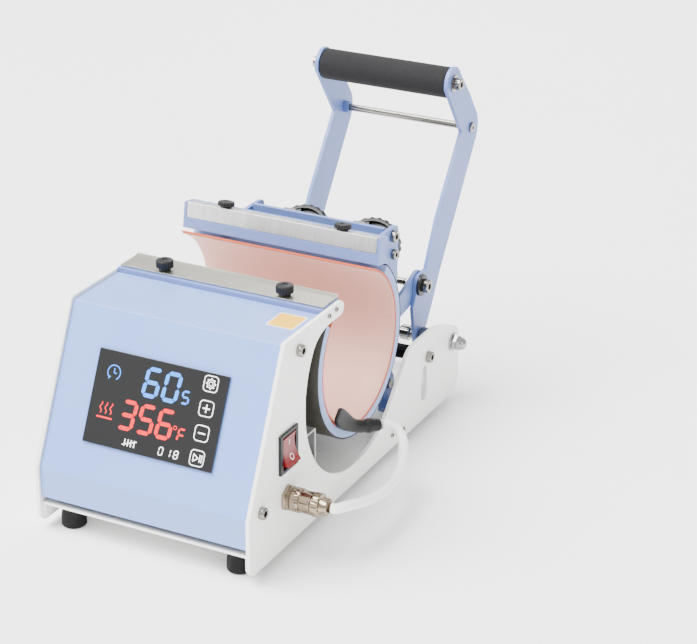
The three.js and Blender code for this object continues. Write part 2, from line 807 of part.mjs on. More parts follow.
function leverCrossPieces() {
  const half = ARM_IN - GAP;
  const boltEnd = ARM_IN - 2 * GAP - 3 - 7;
  place("crank_shaft", rodX(CRANK_R, GAP - boltEnd, boltEnd - GAP, CRANK), brightSteel);
  place("grip_foam", tube(12.7, 8, -half, half, GRIP, 28), foam);
  const seat = ARM_OUT + GAP;
  const throughRod = (middleR, shoulder, headR, headH) => {
    const right = [
      [middleR, shoulder],
      [SCREW_R, shoulder],
      [SCREW_R, seat],
      [headR, seat],
      [headR, seat + headH],
      [0, seat + headH],
    ];
    return [...right.map(([r, x]) => [r, -x]).reverse(), ...right];
  };
  place("grip_rod", turnedX(throughRod(7.6, half - 1, 5, 7), GRIP, 16), brightSteel);
  place("cross_rod", turnedX(throughRod(2.9, half - 12, 4.5, 2), CROSS_ROD, 14), brightSteel);
}

// ---- Assembly ----------------------------------------------------------------------------

sidePlates();
frontCover();
rearWall();
basePan();
feet();
coverScrews();
frontClamp();
rockerSwitch();
panelSocket();
mainsInlet();
controlBoard();
heaterWrap();
heaterCable();
cablePlug();
cableBoot();
stopBar();
leverShaft();
framePivot();
frameArms();
frameCrossbar();
rearJaw();
pressureRods();
leverArms();
stopHooks();
leverCrossPieces();

// The origin is under the middle of the machine's own box, on the floor, without the cable.
const OFF_BODY = ["heater_cable", "cable_plug", "cable_boot"];
machine.updateMatrixWorld(true);
const bounds = new THREE.Box3();
machine.traverse((o) => {
  if (o.isMesh && !OFF_BODY.includes(o.name)) bounds.expandByObject(o, true);
});
const centre = bounds.getCenter(new THREE.Vector3());
machine.position.set(-centre.x, -centre.y, -bounds.min.z);

const press = new THREE.Group();
press.add(machine);
export default press;
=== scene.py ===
import math

import bpy
from mathutils import Matrix, Vector


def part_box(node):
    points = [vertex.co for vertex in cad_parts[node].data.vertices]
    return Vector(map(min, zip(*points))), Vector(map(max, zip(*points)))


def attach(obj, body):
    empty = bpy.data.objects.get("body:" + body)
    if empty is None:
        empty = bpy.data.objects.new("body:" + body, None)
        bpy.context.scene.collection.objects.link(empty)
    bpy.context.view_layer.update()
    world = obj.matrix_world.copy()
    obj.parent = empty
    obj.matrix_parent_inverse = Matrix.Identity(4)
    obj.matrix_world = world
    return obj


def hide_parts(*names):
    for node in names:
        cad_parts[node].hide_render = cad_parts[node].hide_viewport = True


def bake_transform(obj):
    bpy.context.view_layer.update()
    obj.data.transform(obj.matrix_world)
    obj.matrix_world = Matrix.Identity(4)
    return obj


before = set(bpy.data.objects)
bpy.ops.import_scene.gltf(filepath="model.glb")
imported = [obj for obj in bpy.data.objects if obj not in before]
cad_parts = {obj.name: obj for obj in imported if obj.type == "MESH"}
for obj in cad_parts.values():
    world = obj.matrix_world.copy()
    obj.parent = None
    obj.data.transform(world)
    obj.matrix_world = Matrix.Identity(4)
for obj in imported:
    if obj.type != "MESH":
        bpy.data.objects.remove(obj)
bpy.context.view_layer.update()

# The machine's own drawing coordinates: millimetres, y from the side plates' front edge.
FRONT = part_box("side_plate_right")[0].y


def mm(x, y, z):
    return Vector((x / 1000, FRONT + y / 1000, z / 1000))


def srgb(r, g, b):
    def channel(c):
        c /= 255
        return c / 12.92 if c <= 0.04045 else ((c + 0.055) / 1.055) ** 2.4

    return (channel(r), channel(g), channel(b), 1.0)


# ---- Camera ------------------------------------------------------------------------------

camera = bpy.data.objects.new("camera", bpy.data.cameras.new("camera"))
camera.data.lens = 110.3
camera.data.sensor_width = 36
camera.data.clip_end = 20
camera.matrix_world = Matrix.Translation(mm(731.37, -1116.51, 775.79)) @ Matrix(
    (
        (0.8904, -0.1903, 0.4135),
        (0.4552, 0.3594, -0.8146),
        (0.0064, 0.9136, 0.4066),
    )
).to_4x4()
bpy.context.scene.collection.objects.link(camera)
bpy.context.scene.camera = camera


# ---- Materials ---------------------------------------------------------------------------


class Nodes:
    """A material's node tree, with short calls for the nodes used here."""

    def __init__(self, name):
        self.material = bpy.data.materials.new(name)
        self.material.use_nodes = True
        self.tree = self.material.node_tree
        self.shader = self.tree.nodes["Principled BSDF"]
        self.place = self.add("ShaderNodeTexCoord").outputs["Object"]

    def add(self, kind, **values):
        node = self.tree.nodes.new(kind)
        for key, value in values.items():
            setattr(node, key, value)
        return node

    def link(self, source, target):
        self.tree.links.new(source, target)

    def stretched(self, scale):
        node = self.add("ShaderNodeMapping")
        self.link(self.place, node.inputs["Vector"])
        node.inputs["Scale"].default_value = scale
        return node.outputs["Vector"]

    def noise(self, size, detail=2.0, stretch=None, roughness=0.5):
        node = self.add("ShaderNodeTexNoise")
        self.link(self.stretched(stretch) if stretch else self.place, node.inputs["Vector"])
        node.inputs["Scale"].default_value = 1000 / size
        node.inputs["Detail"].default_value = detail
        node.inputs["Roughness"].default_value = roughness
        return node.outputs["Fac"]

    def ramp(self, value, low, high, out_low, out_high):
        node = self.add("ShaderNodeMapRange")
        self.link(value, node.inputs["Value"])
        for key, number in zip(
            ("From Min", "From Max", "To Min", "To Max"), (low, high, out_low, out_high)
        ):
            node.inputs[key].default_value = number
        return node.outputs["Result"]

    def mix(self, factor, a, b):
        node = self.add("ShaderNodeMix", data_type="RGBA")
        self.link(factor, node.inputs[0])
        for value, socket in ((a, node.inputs[6]), (b, node.inputs[7])):
            if isinstance(value, tuple):
                socket.default_value = value
            else:
                self.link(value, socket)
        return node.outputs[2]

    def math(self, operation, a, b):
        node = self.add("ShaderNodeMath", operation=operation)
        for value, socket in ((a, node.inputs[0]), (b, node.inputs[1])):
            if isinstance(value, (int, float)):
                socket.default_value = value
            else:
                self.link(value, socket)
        return node.outputs[0]

    def bump(self, height, depth, strength=1.0, after=None):
        node = self.add("ShaderNodeBump")
        node.inputs["Strength"].default_value = strength
        node.inputs["Distance"].default_value = depth / 1000
        self.link(height, node.inputs["Height"])
        if after:
            self.link(after, node.inputs["Normal"])
        return node.outputs["Normal"]

    def normal(self, output):
        self.link(output, self.shader.inputs["Normal"])


def shade(color, factor):
    return (*(min(1.0, c * factor) for c in color[:3]), 1.0)


def finish(
    name,
    color,
    rough,
    metal=0.0,
    grain=(0.6, 0.012),
    mottle=(25, 0.06),
    rough_spread=0.08,
    wear=None,
    stretch=None,
    coat=0.0,
    sheen=0.0,
    specular=0.5,
):
    """A surface with fine grain, slow colour change, uneven gloss and worn edges."""
    n = Nodes(name)
    s = n.shader.inputs
    s["Metallic"].default_value = metal
    s["Coat Weight"].default_value = coat
    s["Coat Roughness"].default_value = 0.08
    s["Sheen Weight"].default_value = sheen
    s["Specular IOR Level"].default_value = specular
    slow = n.noise(mottle[0], 3.0)
    base = n.mix(slow, shade(color, 1 - mottle[1]), shade(color, 1 + mottle[1]))
    if wear:
        point = n.add("ShaderNodeNewGeometry").outputs["Pointiness"]
        edge = n.ramp(point, 0.53, 0.6, 0.0, 0.55)
        broken = n.math("MULTIPLY", edge, n.ramp(n.noise(2.5, 4.0), 0.4, 0.62, 0.0, 1.0))
        base = n.mix(broken, base, wear)
    n.link(base, s["Base Color"])
    fine = n.noise(grain[0], 3.0, stretch)
    uneven = n.math("ADD", n.math("MULTIPLY", slow, 0.5), n.math("MULTIPLY", fine, 0.5))
    n.link(n.ramp(uneven, 0.3, 0.7, rough - rough_spread, rough + rough_spread), s["Roughness"])
    n.normal(n.bump(fine, grain[1]))
    return n.material


def brushed(name, color, rough, stretch, depth=0.03, contrast=0.14):
    """Metal with scratches along one direction; stretch is small along the scratches."""
    n = Nodes(name)
    s = n.shader.inputs
    s["Metallic"].default_value = 0.95
    lines = n.noise(0.55, 5.0, stretch, 0.65)
    broad = n.noise(6, 3.0, stretch, 0.6)
    mixed = n.math("ADD", n.math("MULTIPLY", lines, 0.6), n.math("MULTIPLY", broad, 0.4))
    dark, light = shade(color, 1 - contrast), shade(color, 1 + contrast)
    n.link(n.mix(n.ramp(mixed, 0.35, 0.65, 0, 1), dark, light), s["Base Color"])
    n.link(n.ramp(mixed, 0.3, 0.7, rough - 0.1, rough + 0.14), s["Roughness"])
    n.normal(n.bump(lines, depth))
    return n.material


def foam_finish():
    n = Nodes("grip foam")
    s = n.shader.inputs
    cells = n.add("ShaderNodeTexVoronoi")
    n.link(n.place, cells.inputs["Vector"])
    cells.inputs["Scale"].default_value = 1000 / 0.7
    pores = n.ramp(cells.outputs["Distance"], 0.0, 0.6, 0.0, 1.0)
    slow = n.noise(18, 3.0)
    tone = n.math("ADD", n.math("MULTIPLY", pores, 0.55), n.math("MULTIPLY", slow, 0.45))
    n.link(n.mix(tone, srgb(16, 16, 17), srgb(38, 38, 39)), s["Base Color"])
    n.link(n.ramp(slow, 0.3, 0.7, 0.78, 0.95), s["Roughness"])
    s["Sheen Weight"].default_value = 0.03
    s["Specular IOR Level"].default_value = 0.15
    n.normal(n.bump(pores, 0.06, after=n.bump(n.noise(4), 0.12)))
    return n.material


def woven(name, color, pitch, depth):
    """Silicone skin over a glass cloth: a fine square weave shows through."""
    n = Nodes(name)
    s = n.shader.inputs
    threads = []
    for axis in ("X", "Z"):
        wave = n.add("ShaderNodeTexWave", wave_type="BANDS", bands_direction=axis)
        n.link(n.place, wave.inputs["Vector"])
        wave.inputs["Scale"].default_value = 1000 / pitch / 6.2832 * 2
        wave.inputs["Distortion"].default_value = 0.6
        threads.append(wave.outputs["Fac"])
    weave = n.math("MULTIPLY", threads[0], threads[1])
    slow = n.noise(30, 4.0)
    stain = n.ramp(n.noise(9, 5.0), 0.55, 0.75, 0.0, 0.35)
    base = n.mix(slow, shade(color, 0.93), shade(color, 1.05))
    base = n.mix(stain, base, shade(color, 0.84))
    n.link(n.mix(n.math("MULTIPLY", weave, 0.3), base, shade(color, 0.88)), s["Base Color"])
    n.link(n.ramp(slow, 0.3, 0.7, 0.5, 0.72), s["Roughness"])
    s["Sheen Weight"].default_value = 0.15
    n.normal(n.bump(weave, depth, after=n.bump(n.noise(14, 3.0), 0.25)))
    return n.material


def lit(name, color, strength):
    """A lit mark behind the screen, slightly uneven like real segments."""
    n = Nodes(name)
    s = n.shader.inputs
    glow = n.mix(n.noise(3, 2.0), shade(color, 0.8), shade(color, 1.15))
    n.link(glow, s["Base Color"])
    n.link(glow, s["Emission Color"])
    s["Emission Strength"].default_value = strength
    n.link(n.ramp(n.noise(6), 0.3, 0.7, 0.15, 0.3), s["Roughness"])
    return n.material


BARE = srgb(150, 148, 142)
M = {
    "white": finish(
        "white powder coat", srgb(248, 247, 244), 0.42, grain=(0.9, 0.02), mottle=(60, 0.03)
    ),
    "blue": finish("blue powder coat", srgb(98, 122, 184), 0.4, wear=BARE, grain=(0.8, 0.02)),
    "cover": finish(
        "pale blue cover", srgb(120, 152, 222), 0.38, wear=BARE, grain=(0.8, 0.015), mottle=(60, 0.03)
    ),
    "galvanised": finish(
        "galvanised sheet", srgb(186, 188, 186), 0.38, 0.7, (0.7, 0.006), (14, 0.08)
    ),
    "pan": finish(
        "white pan coat", srgb(246, 246, 243), 0.4, grain=(1.1, 0.008), mottle=(60, 0.03)
    ),
    "zinc": finish("zinc plated steel", srgb(138, 135, 129), 0.22, 1.0, mottle=(4, 0.12)),
    "black_screw": finish("blackened screw", srgb(46, 46, 48), 0.4, 0.6, mottle=(4, 0.2)),
    "chrome": finish(
        "polished chrome", srgb(158, 158, 160), 0.1, 1.0, (0.4, 0.002), (8, 0.05), 0.05
    ),
    "nickel": finish(
        "nickel plating", srgb(150, 135, 116), 0.17, 1.0, (0.4, 0.004), (6, 0.1), 0.08
    ),
    "plastic": finish(
        "black moulded plastic", srgb(18, 18, 19), 0.42, specular=0.3, grain=(0.35, 0.015), mottle=(6, 0.2)
    ),
    "rubber": finish(
        "black rubber", srgb(15, 15, 16), 0.7, specular=0.2, grain=(0.5, 0.02), mottle=(8, 0.25)
    ),
    "boot": finish(
        "black silicone boot", srgb(14, 14, 15), 0.38, specular=0.3, grain=(1.5, 0.06), mottle=(9, 0.3)
    ),
    "glass": finish(
        "black screen glass", srgb(7, 7, 9), 0.07, grain=(40, 0.01), mottle=(30, 0.3), rough_spread=0.03, coat=0.6
    ),
    "red": finish("red rocker plastic", srgb(120, 2, 8), 0.26, grain=(1.2, 0.008), mottle=(5, 0.1)),
    "mark": finish("white print", srgb(235, 232, 228), 0.5, mottle=(1, 0.08)),
    "label": finish("plain yellow label", srgb(232, 178, 0), 0.5, mottle=(6, 0.05)),
    "label_edge": finish("label border", srgb(246, 244, 238), 0.4, mottle=(2, 0.2)),
    "mat": finish(
        "orange heater mat", srgb(200, 84, 38), 0.55, grain=(0.6, 0.03), mottle=(5, 0.12)
    ),
    "pad": finish(
        "blue sponge pad", srgb(140, 160, 206), 0.85, grain=(0.5, 0.08), mottle=(4, 0.1), sheen=0.2
    ),
    # Its dark olive is painted shade: the look of a shaded box wall, put on the heater skin's outer face.
    "skin": finish(
        "pad skin in painted olive shade", srgb(52, 50, 42), 0.55, grain=(0.8, 0.04), mottle=(10, 0.1)
    ),
    "cable": finish(
        "white cable sheath", srgb(250, 250, 248), 0.45, grain=(0.7, 0.03), mottle=(14, 0.04)
    ),
    "board": finish("circuit board", srgb(30, 92, 58), 0.4, grain=(0.4, 0.01), mottle=(3, 0.25)),
    "brass": finish("brass pin", srgb(200, 164, 90), 0.25, 1.0, mottle=(2, 0.1)),
    "aluminium": brushed(
        "brushed aluminium", srgb(214, 214, 214), 0.32, (1.0, 0.05, 0.05), 0.05, 0.2
    ),
    "strip": brushed(
        "brushed steel strip", srgb(178, 175, 164), 0.34, (0.05, 1.0, 1.0), 0.01, 0.05
    ),
    "shaft": brushed(
        "ground steel shaft", srgb(152, 150, 146), 0.18, (1.0, 0.08, 0.08), 0.006, 0.06
    ),
    "foam": foam_finish(),
    "liner": woven("pink silicone liner", srgb(212, 162, 148), 0.9, 0.02),
    "led_blue": lit("lit blue", srgb(50, 130, 225), 0.8),
    "led_red": lit("lit red", srgb(225, 16, 28), 0.8),
    "led_white": lit("lit white", srgb(240, 240, 245), 1.0),
}


# ---- Mesh helpers ------------------------------------------------------------------------


def piece(name, points, faces, materials, body, indices=None, sharp=32, bevel=0.0, segments=2):
    """A mesh from points in metres, riding on a body."""
    mesh = bpy.data.meshes.new(name)
    mesh.from_pydata([tuple(p) for p in points], [], faces)
    mesh.validate()
    for m in materials:
        mesh.materials.append(M[m])
    if indices:
        mesh.polygons.foreach_set("material_index", indices)
    mesh.polygons.foreach_set("use_smooth", [True] * len(mesh.polygons))
    obj = bpy.data.objects.new(name, mesh)
    bpy.context.scene.collection.objects.link(obj)
    if bevel:
        add_bevel(obj, bevel, segments, sharp)
    else:
        mesh.set_sharp_from_angle(angle=math.radians(sharp))
    if body:
        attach(obj, body)
    return obj


def add_bevel(obj, width, segments=2, angle=30):
    m = obj.modifiers.new("edges", "BEVEL")
    m.width = width / 1000
    m.segments = segments
    m.limit_method = "ANGLE"
    m.angle_limit = math.radians(angle)
    m.harden_normals = True


def dress(material, *names, bevel=0.3, segments=2, angle=30):
    """CAD nodes keep their shape and get a finish and softened edges."""
    for name in names:
        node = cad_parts[name]
        node.data.materials.clear()
        node.data.materials.append(M[material])
        node.data.polygons.foreach_set("material_index", [0] * len(node.data.polygons))
        if "custom_normal" in node.data.attributes:
            node.data.attributes.remove(node.data.attributes["custom_normal"])
        node.data.polygons.foreach_set("use_smooth", [True] * len(node.data.polygons))
        weld = node.modifiers.new("weld", "WELD")
        weld.merge_threshold = 1e-6
        add_bevel(node, bevel, segments, angle)


def both(name):
    return name + "_left", name + "_right"


def along(point, axis):
    """Matrix that puts local Z along an axis, at a point in metres."""
    turn = Vector((0, 0, 1)).rotation_difference(Vector(axis).normalized())
    return Matrix.Translation(point) @ turn.to_matrix().to_4x4()


def hexagon(turn=0.0):
    def radius(r, a, i):
        return r * math.cos(math.pi / 6) / math.cos((a + turn) % (math.pi / 3) - math.pi / 6)

    return radius


def ribs(depth, run=4):
    def radius(r, a, i):
        return r - depth * (i % run >= run / 2)

    return radius


def spun(name, place, rings, materials, body, segments=48, sharp=32):
    """A turned piece. Each ring is (radius, height) in mm, then maybe a radius rule, then a
    material index for the band that ends at it. Radius 0 closes the piece on its axis."""
    points, faces, indices, previous = [], [], [], None
    for ring in rings:
        r, h = ring[0], ring[1]
        rule = ring[2] if len(ring) > 2 else None
        index = ring[3] if len(ring) > 3 else 0
        start = len(points)
        if r == 0:
            points.append(place @ Vector((0, 0, h / 1000)))
            count = 1
        else:
            for i in range(segments):
                a = 2 * math.pi * i / segments
                rr = (rule(r, a, i) if rule else r) / 1000
                points.append(place @ Vector((rr * math.cos(a), rr * math.sin(a), h / 1000)))
            count = segments
        if previous:
            p, n = previous
            for i in range(segments):
                j = (i + 1) % segments
                lower = (p, p) if n == 1 else (p + i, p + j)
                upper = (start, start) if count == 1 else (start + i, start + j)
                face = [lower[0], lower[1], upper[1], upper[0]]
                faces.append(list(dict.fromkeys(face)))
                indices.append(index)
        previous = (start, count)
    return piece(name, points, faces, materials, body, indices, sharp)


def prism(name, outline, x0, x1, material, body, bevel=0.3):
    """An outline in the side view (y, z), given thickness along X."""
    n = len(outline)
    points = [mm(x, y, z) for x in (x0, x1) for y, z in outline]
    faces = [list(range(n))[::-1], list(range(n, 2 * n))]
    faces += [[i, (i + 1) % n, n + (i + 1) % n, n + i] for i in range(n)]
    return piece(name, points, faces, [material], body, bevel=bevel)


SOCKET = hexagon()


def cap_screw(name, seat, axis, body, r=5.0, h=5.0, key=2.6, shank=0.0):
    """Socket head cap screw, its head standing on a seat point in mm, with a ribbed rim."""
    place = along(mm(*seat), axis)
    rim = ribs(0.12)
    rings = [(0, -shank)] if shank else [(0, 0.02)]
    if shank:
        rings += [(3.0, -shank), (3.0, 0.0)]
    rings += [
        (r - 0.3, 0.02),
        (r, 0.3, rim),
        (r, h - 0.7, rim),
        (r - 0.15, h - 0.55),
        (r - 0.7, h),
        (key * 1.12, h),
        (key, h - 0.25, SOCKET),
        (key, h - 2.6, SOCKET),
        (0, h - 3.1),
    ]
    return spun(name, place, rings, ["zinc"], body)


# ---- Heater cable ------------------------------------------------------------------------

# The same route as in the CAD source, from the heater's boot to the plug.
CABLE_ROUTE = [
    (104.9, 175, 52.9),
    (108.4, 178.2, 52),
    (112.7, 180, 50.1),
    (117.4, 179.2, 47.2),
    (121.8, 175.2, 44),
    (125.8, 168.6, 41),
    (129.4, 160, 38.4),
    (132.8, 150, 36.2),
    (135.4, 137, 34.2),
    (136.8, 124, 33.6),
    (137, 111, 34.2),
    (136.2, 98, 35.8),
    (134.8, 86, 38.2),
    (133.2, 75, 41),
    (131.6, 66, 43.6),
    (129.8, 58.8, 45),
    (127.2, 55.6, 45),
    (124.2, 55, 45),
]
CABLE_D = 0.0076


def heater_cable():
    curve = bpy.data.curves.new("heater_cable_sheath", "CURVE")
    curve.dimensions = "3D"
    curve.resolution_u = 8
    curve.bevel_depth = CABLE_D / 2
    curve.bevel_resolution = 5
    curve.use_fill_caps = True
    line = curve.splines.new("BEZIER")
    line.bezier_points.add(len(CABLE_ROUTE) - 1)
    for point, place in zip(line.bezier_points, CABLE_ROUTE):
        point.co = mm(*place)
        point.handle_left_type = point.handle_right_type = "AUTO"
    curve.materials.append(M["cable"])
    sheath = bpy.data.objects.new("heater_cable_sheath", curve)
    bpy.context.scene.collection.objects.link(sheath)
    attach(sheath, "machine")
    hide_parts("heater_cable")
    route = [mm(*p) for p in CABLE_ROUTE]
    length = sum((b - a).length for a, b in zip(route, route[1:]))
    return sheath, length


def cable_boot():
    """Flat moulded tab on the wrap's end that swells into the round cable sleeve."""
    stations = [
        # centre, half width along the wrap, half thickness
        ((87.4, 134.5, 75.5), 5.0, 1.2),
        ((87.5, 137.5, 72.5), 6.8, 2.0),
        ((87.7, 143, 67.2), 7.2, 2.4),
        ((88.4, 149, 61.8), 6.2, 3.0),
        ((90.0, 155, 57.6), 5.2, 4.0),
        ((92.8, 160.2, 55.2), 5.0, 4.7),
        ((95.6, 164.6, 54.3), 5.0, 4.9),
        ((96.4, 165.5, 54.2), 5.75, 5.55),
        ((98.6, 168, 53.8), 5.75, 5.5),
        ((99.4, 168.9, 53.7), 5.2, 5.0),
        ((102.6, 172.4, 53.2), 4.8, 4.8),
        ((104.0, 174.0, 53.0), 4.4, 4.4),
    ]
    n = 28
    points, faces = [], []
    for k, (centre, wide, thick) in enumerate(stations):
        before = Vector(stations[max(k - 1, 0)][0])
        after = Vector(stations[min(k + 1, len(stations) - 1)][0])
        ahead = (after - before).normalized()
        side = Vector((1, 0, 0)) - ahead * ahead.x
        side.normalize()
        across = ahead.cross(side)
        for i in range(n):
            a = 2 * math.pi * i / n
            c, s = math.cos(a), math.sin(a)
            square = 0.4 if k < 4 else 1.0
            u = math.copysign(abs(c) ** square, c) * wide
            v = math.copysign(abs(s) ** square, s) * thick
            points.append(mm(*(Vector(centre) + across * u + side * v)))
    for k in range(len(stations) - 1):
        for i in range(n):
            j = (i + 1) % n
            faces.append([k * n + i, k * n + j, (k + 1) * n + j, (k + 1) * n + i])
    faces.append(list(range(n))[::-1])
    faces.append(list(range(len(points) - n, len(points))))
    boot = piece("cable_boot_moulding", points, faces, ["boot"], "machine", sharp=50)
    boot.modifiers.new("round", "SUBSURF").render_levels = 2
    boot.modifiers["round"].levels = 2
    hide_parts("cable_boot")
    return boot


def plug_and_socket():
    rim = ribs(0.25)
    base = mm(89.3, 55, 45)
    place = along(base, (1, 0, 0))
    socket = [
        (0, -19),
        (6.5, -19),
        (8, -17.5),
        (8, 0.02),
        (10.4, 0.02, hexagon()),
        (10.6, 0.4, hexagon()),
        (10.6, 1.6, hexagon()),
        (10.2, 2.0, hexagon()),
        (8.8, 2.0),
    ]
    for k in range(3):
        socket += [(8.8, 2.2 + k), (8.3, 2.6 + k), (8.8, 3.0 + k)]
    socket += [(8.8, 4.8), (6.2, 4.8), (6.2, 1.3), (0, 1.3)]
    made = spun("panel_socket_body", place, socket, ["nickel"], "machine", 60)
    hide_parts("panel_socket")
    plug = [
        (0, 1.5),
        (5.4, 1.5),
        (5.4, 5.3),
        (8.6, 5.3),
        (9.1, 5.7, rim),
        (9.1, 11.6, rim),
        (8.7, 12.1),
        (8.0, 12.3),
        (8.0, 13.2),
        (8.4, 13.5),
        (8.4, 20.8),
        (7.9, 21.2),
        (7.9, 21.8),
        (8.9, 22.1, rim),
        (8.9, 26.8, rim),
        (8.4, 27.2),
        (6.6, 27.6),
        (6.2, 29.4),
        (6.2, 32.6),
        (5.6, 33.2),
        (3.9, 33.2),
        (3.9, 31.5),
        (0, 31.5),
    ]
    made = spun("cable_plug_body", place, plug, ["nickel"], "machine", 72)
    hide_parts("cable_plug")
    for k, turn in enumerate((0.6, 0.6 + math.pi)):
        out = Vector((0, math.cos(turn), math.sin(turn)))
        head = along(base + Vector((0.0309, 0, 0)) + out * 0.0061, out)
        rings = [(0, -0.6), (1.4, -0.6), (1.4, 0.5), (1.1, 0.8), (0.4, 0.8), (0.3, 0.4), (0, 0.4)]
        spun(f"plug_clamp_screw_{k}", head, rings, ["zinc"], "machine", 20)
    return made


cable, cable_length = heater_cable()
boot = cable_boot()
plug = plug_and_socket()


# ---- Sheet metal and box -----------------------------------------------------------------

dress("white", *both("side_plate"), bevel=0.35)
dress("pan", "base_pan", bevel=0.3)
dress("cover", "front_cover", bevel=0.7, segments=3, angle=20)
dress("galvanised", "box_rear_wall", bevel=0.25)
dress("blue", "front_clamp_bar", bevel=0.5)
dress("strip", "front_clamp_strip", bevel=0.15, angle=50)
dress("rubber", "foot_front_left", "foot_front_right", "foot_rear_left", "foot_rear_right")
dress("board", "control_board", bevel=0.2)
dress("glass", "touch_panel", bevel=0.35)
dress("blue", *both("frame_bracket"), *both("frame_arm"), *both("lever_arm"), *both("stop_hook"))
dress("blue", "frame_crossbar", "rear_jaw", bevel=0.4)
dress("aluminium", "rear_clamp_bar", bevel=0.25)
dress("plastic", "mains_inlet", "switch_housing", bevel=0.4)
dress("red", "switch_rocker", bevel=0.8, segments=3)
dress("rubber", "stop_bar_sleeve", bevel=0.5)
dress("shaft", "lever_shaft", "frame_shaft", "crank_shaft", *both("pressure_rod"), bevel=0.3)
dress("foam", "grip_foam", bevel=1.6, segments=4)


# ---- Screen ------------------------------------------------------------------------------

LEAN = math.atan2(52.5, 112.5)
FACE = Matrix.Translation(mm(0, 2, 50.5)) @ Matrix.Rotation(-LEAN, 4, "X")
SCREEN_Y = -1.93  # just in front of the glass

SEGMENTS = {
    "0": "abcdef",
    "1": "bc",
    "3": "abgcd",
    "5": "afgcd",
    "6": "afgedc",
    "8": "abcdefg",
    "F": "afge",
}


def bar2(a, b, t, pointed=True):
    """A straight stroke between two points, with pointed or square ends."""
    a, b = Vector(a), Vector(b)
    d = (b - a).normalized()
    n = Vector((-d.y, d.x)) * (t / 2)
    e = d * (t / 2)
    if pointed:
        return [a, a + e - n, b - e - n, b, b - e + n, a + e + n]
    return [a - n, b - n, b + n, a + n]


def digit(ch, x, z, h, w, t, gap=0.35):
    """Seven-segment figure with its lower left corner at x, z, leaning a little."""
    half = h / 2
    ends = {
        "a": ((0, h), (w, h)),
        "b": ((w, h), (w, half)),
        "c": ((w, half), (w, 0)),
        "d": ((0, 0), (w, 0)),
        "e": ((0, half), (0, 0)),
        "f": ((0, h), (0, half)),
        "g": ((0, half), (w, half)),
    }
    shapes = []
    for s in SEGMENTS[ch]:
        a, b = (Vector(p) for p in ends[s])
        d = (b - a).normalized() * gap
        shapes.append([Vector((x + p.x + 0.09 * p.y, z + p.y)) for p in bar2(a + d, b - d, t)])
    return shapes


def ring2(x, z, r, t, start=0.0, end=360.0, n=28):
    shapes = []
    for k in range(n):
        a = math.radians(start + (end - start) * k / n)
        b = math.radians(start + (end - start) * (k + 1) / n)
        corners = ((r - t / 2, a), (r + t / 2, a), (r + t / 2, b), (r - t / 2, b))
        shapes.append([Vector((x + q * math.cos(c), z + q * math.sin(c))) for q, c in corners])
    return shapes


def key2(x, z, size=11.0, t=0.7, corner=2.6):
    """Outline of a rounded square key."""
    h = size / 2 - corner
    shapes = []
    for k, (sx, sz) in enumerate(((1, 1), (-1, 1), (-1, -1), (1, -1))):
        shapes += ring2(x + sx * h, z + sz * h, corner, t, 90 * k, 90 * k + 90, 6)
    e = size / 2
    for a, b in (((-h, e), (h, e)), ((-h, -e), (h, -e)), ((e, -h), (e, h)), ((-e, -h), (-e, h))):
        shapes.append(bar2((x + a[0], z + a[1]), (x + b[0], z + b[1]), t, False))
    return shapes


def on_screen(name, shapes, material):
    points, faces = [], []
    for shape in shapes:
        area = sum(a.x * b.y - b.x * a.y for a, b in zip(shape, shape[1:] + shape[:1]))
        shape = shape if area > 0 else shape[::-1]
        start = len(points)
        for depth in (SCREEN_Y, SCREEN_Y + 0.03):
            points += [FACE @ Vector((p.x / 1000, depth / 1000, p.y / 1000)) for p in shape]
        n = len(shape)
        faces.append([start + i for i in range(n)])
        faces.append([start + n + i for i in range(n)][::-1])
        faces += [
            [start + i, start + n + i, start + n + (i + 1) % n, start + (i + 1) % n] for i in range(n)
        ]
    mark = piece(name, points, faces, [material], "machine", sharp=30)
    return mark


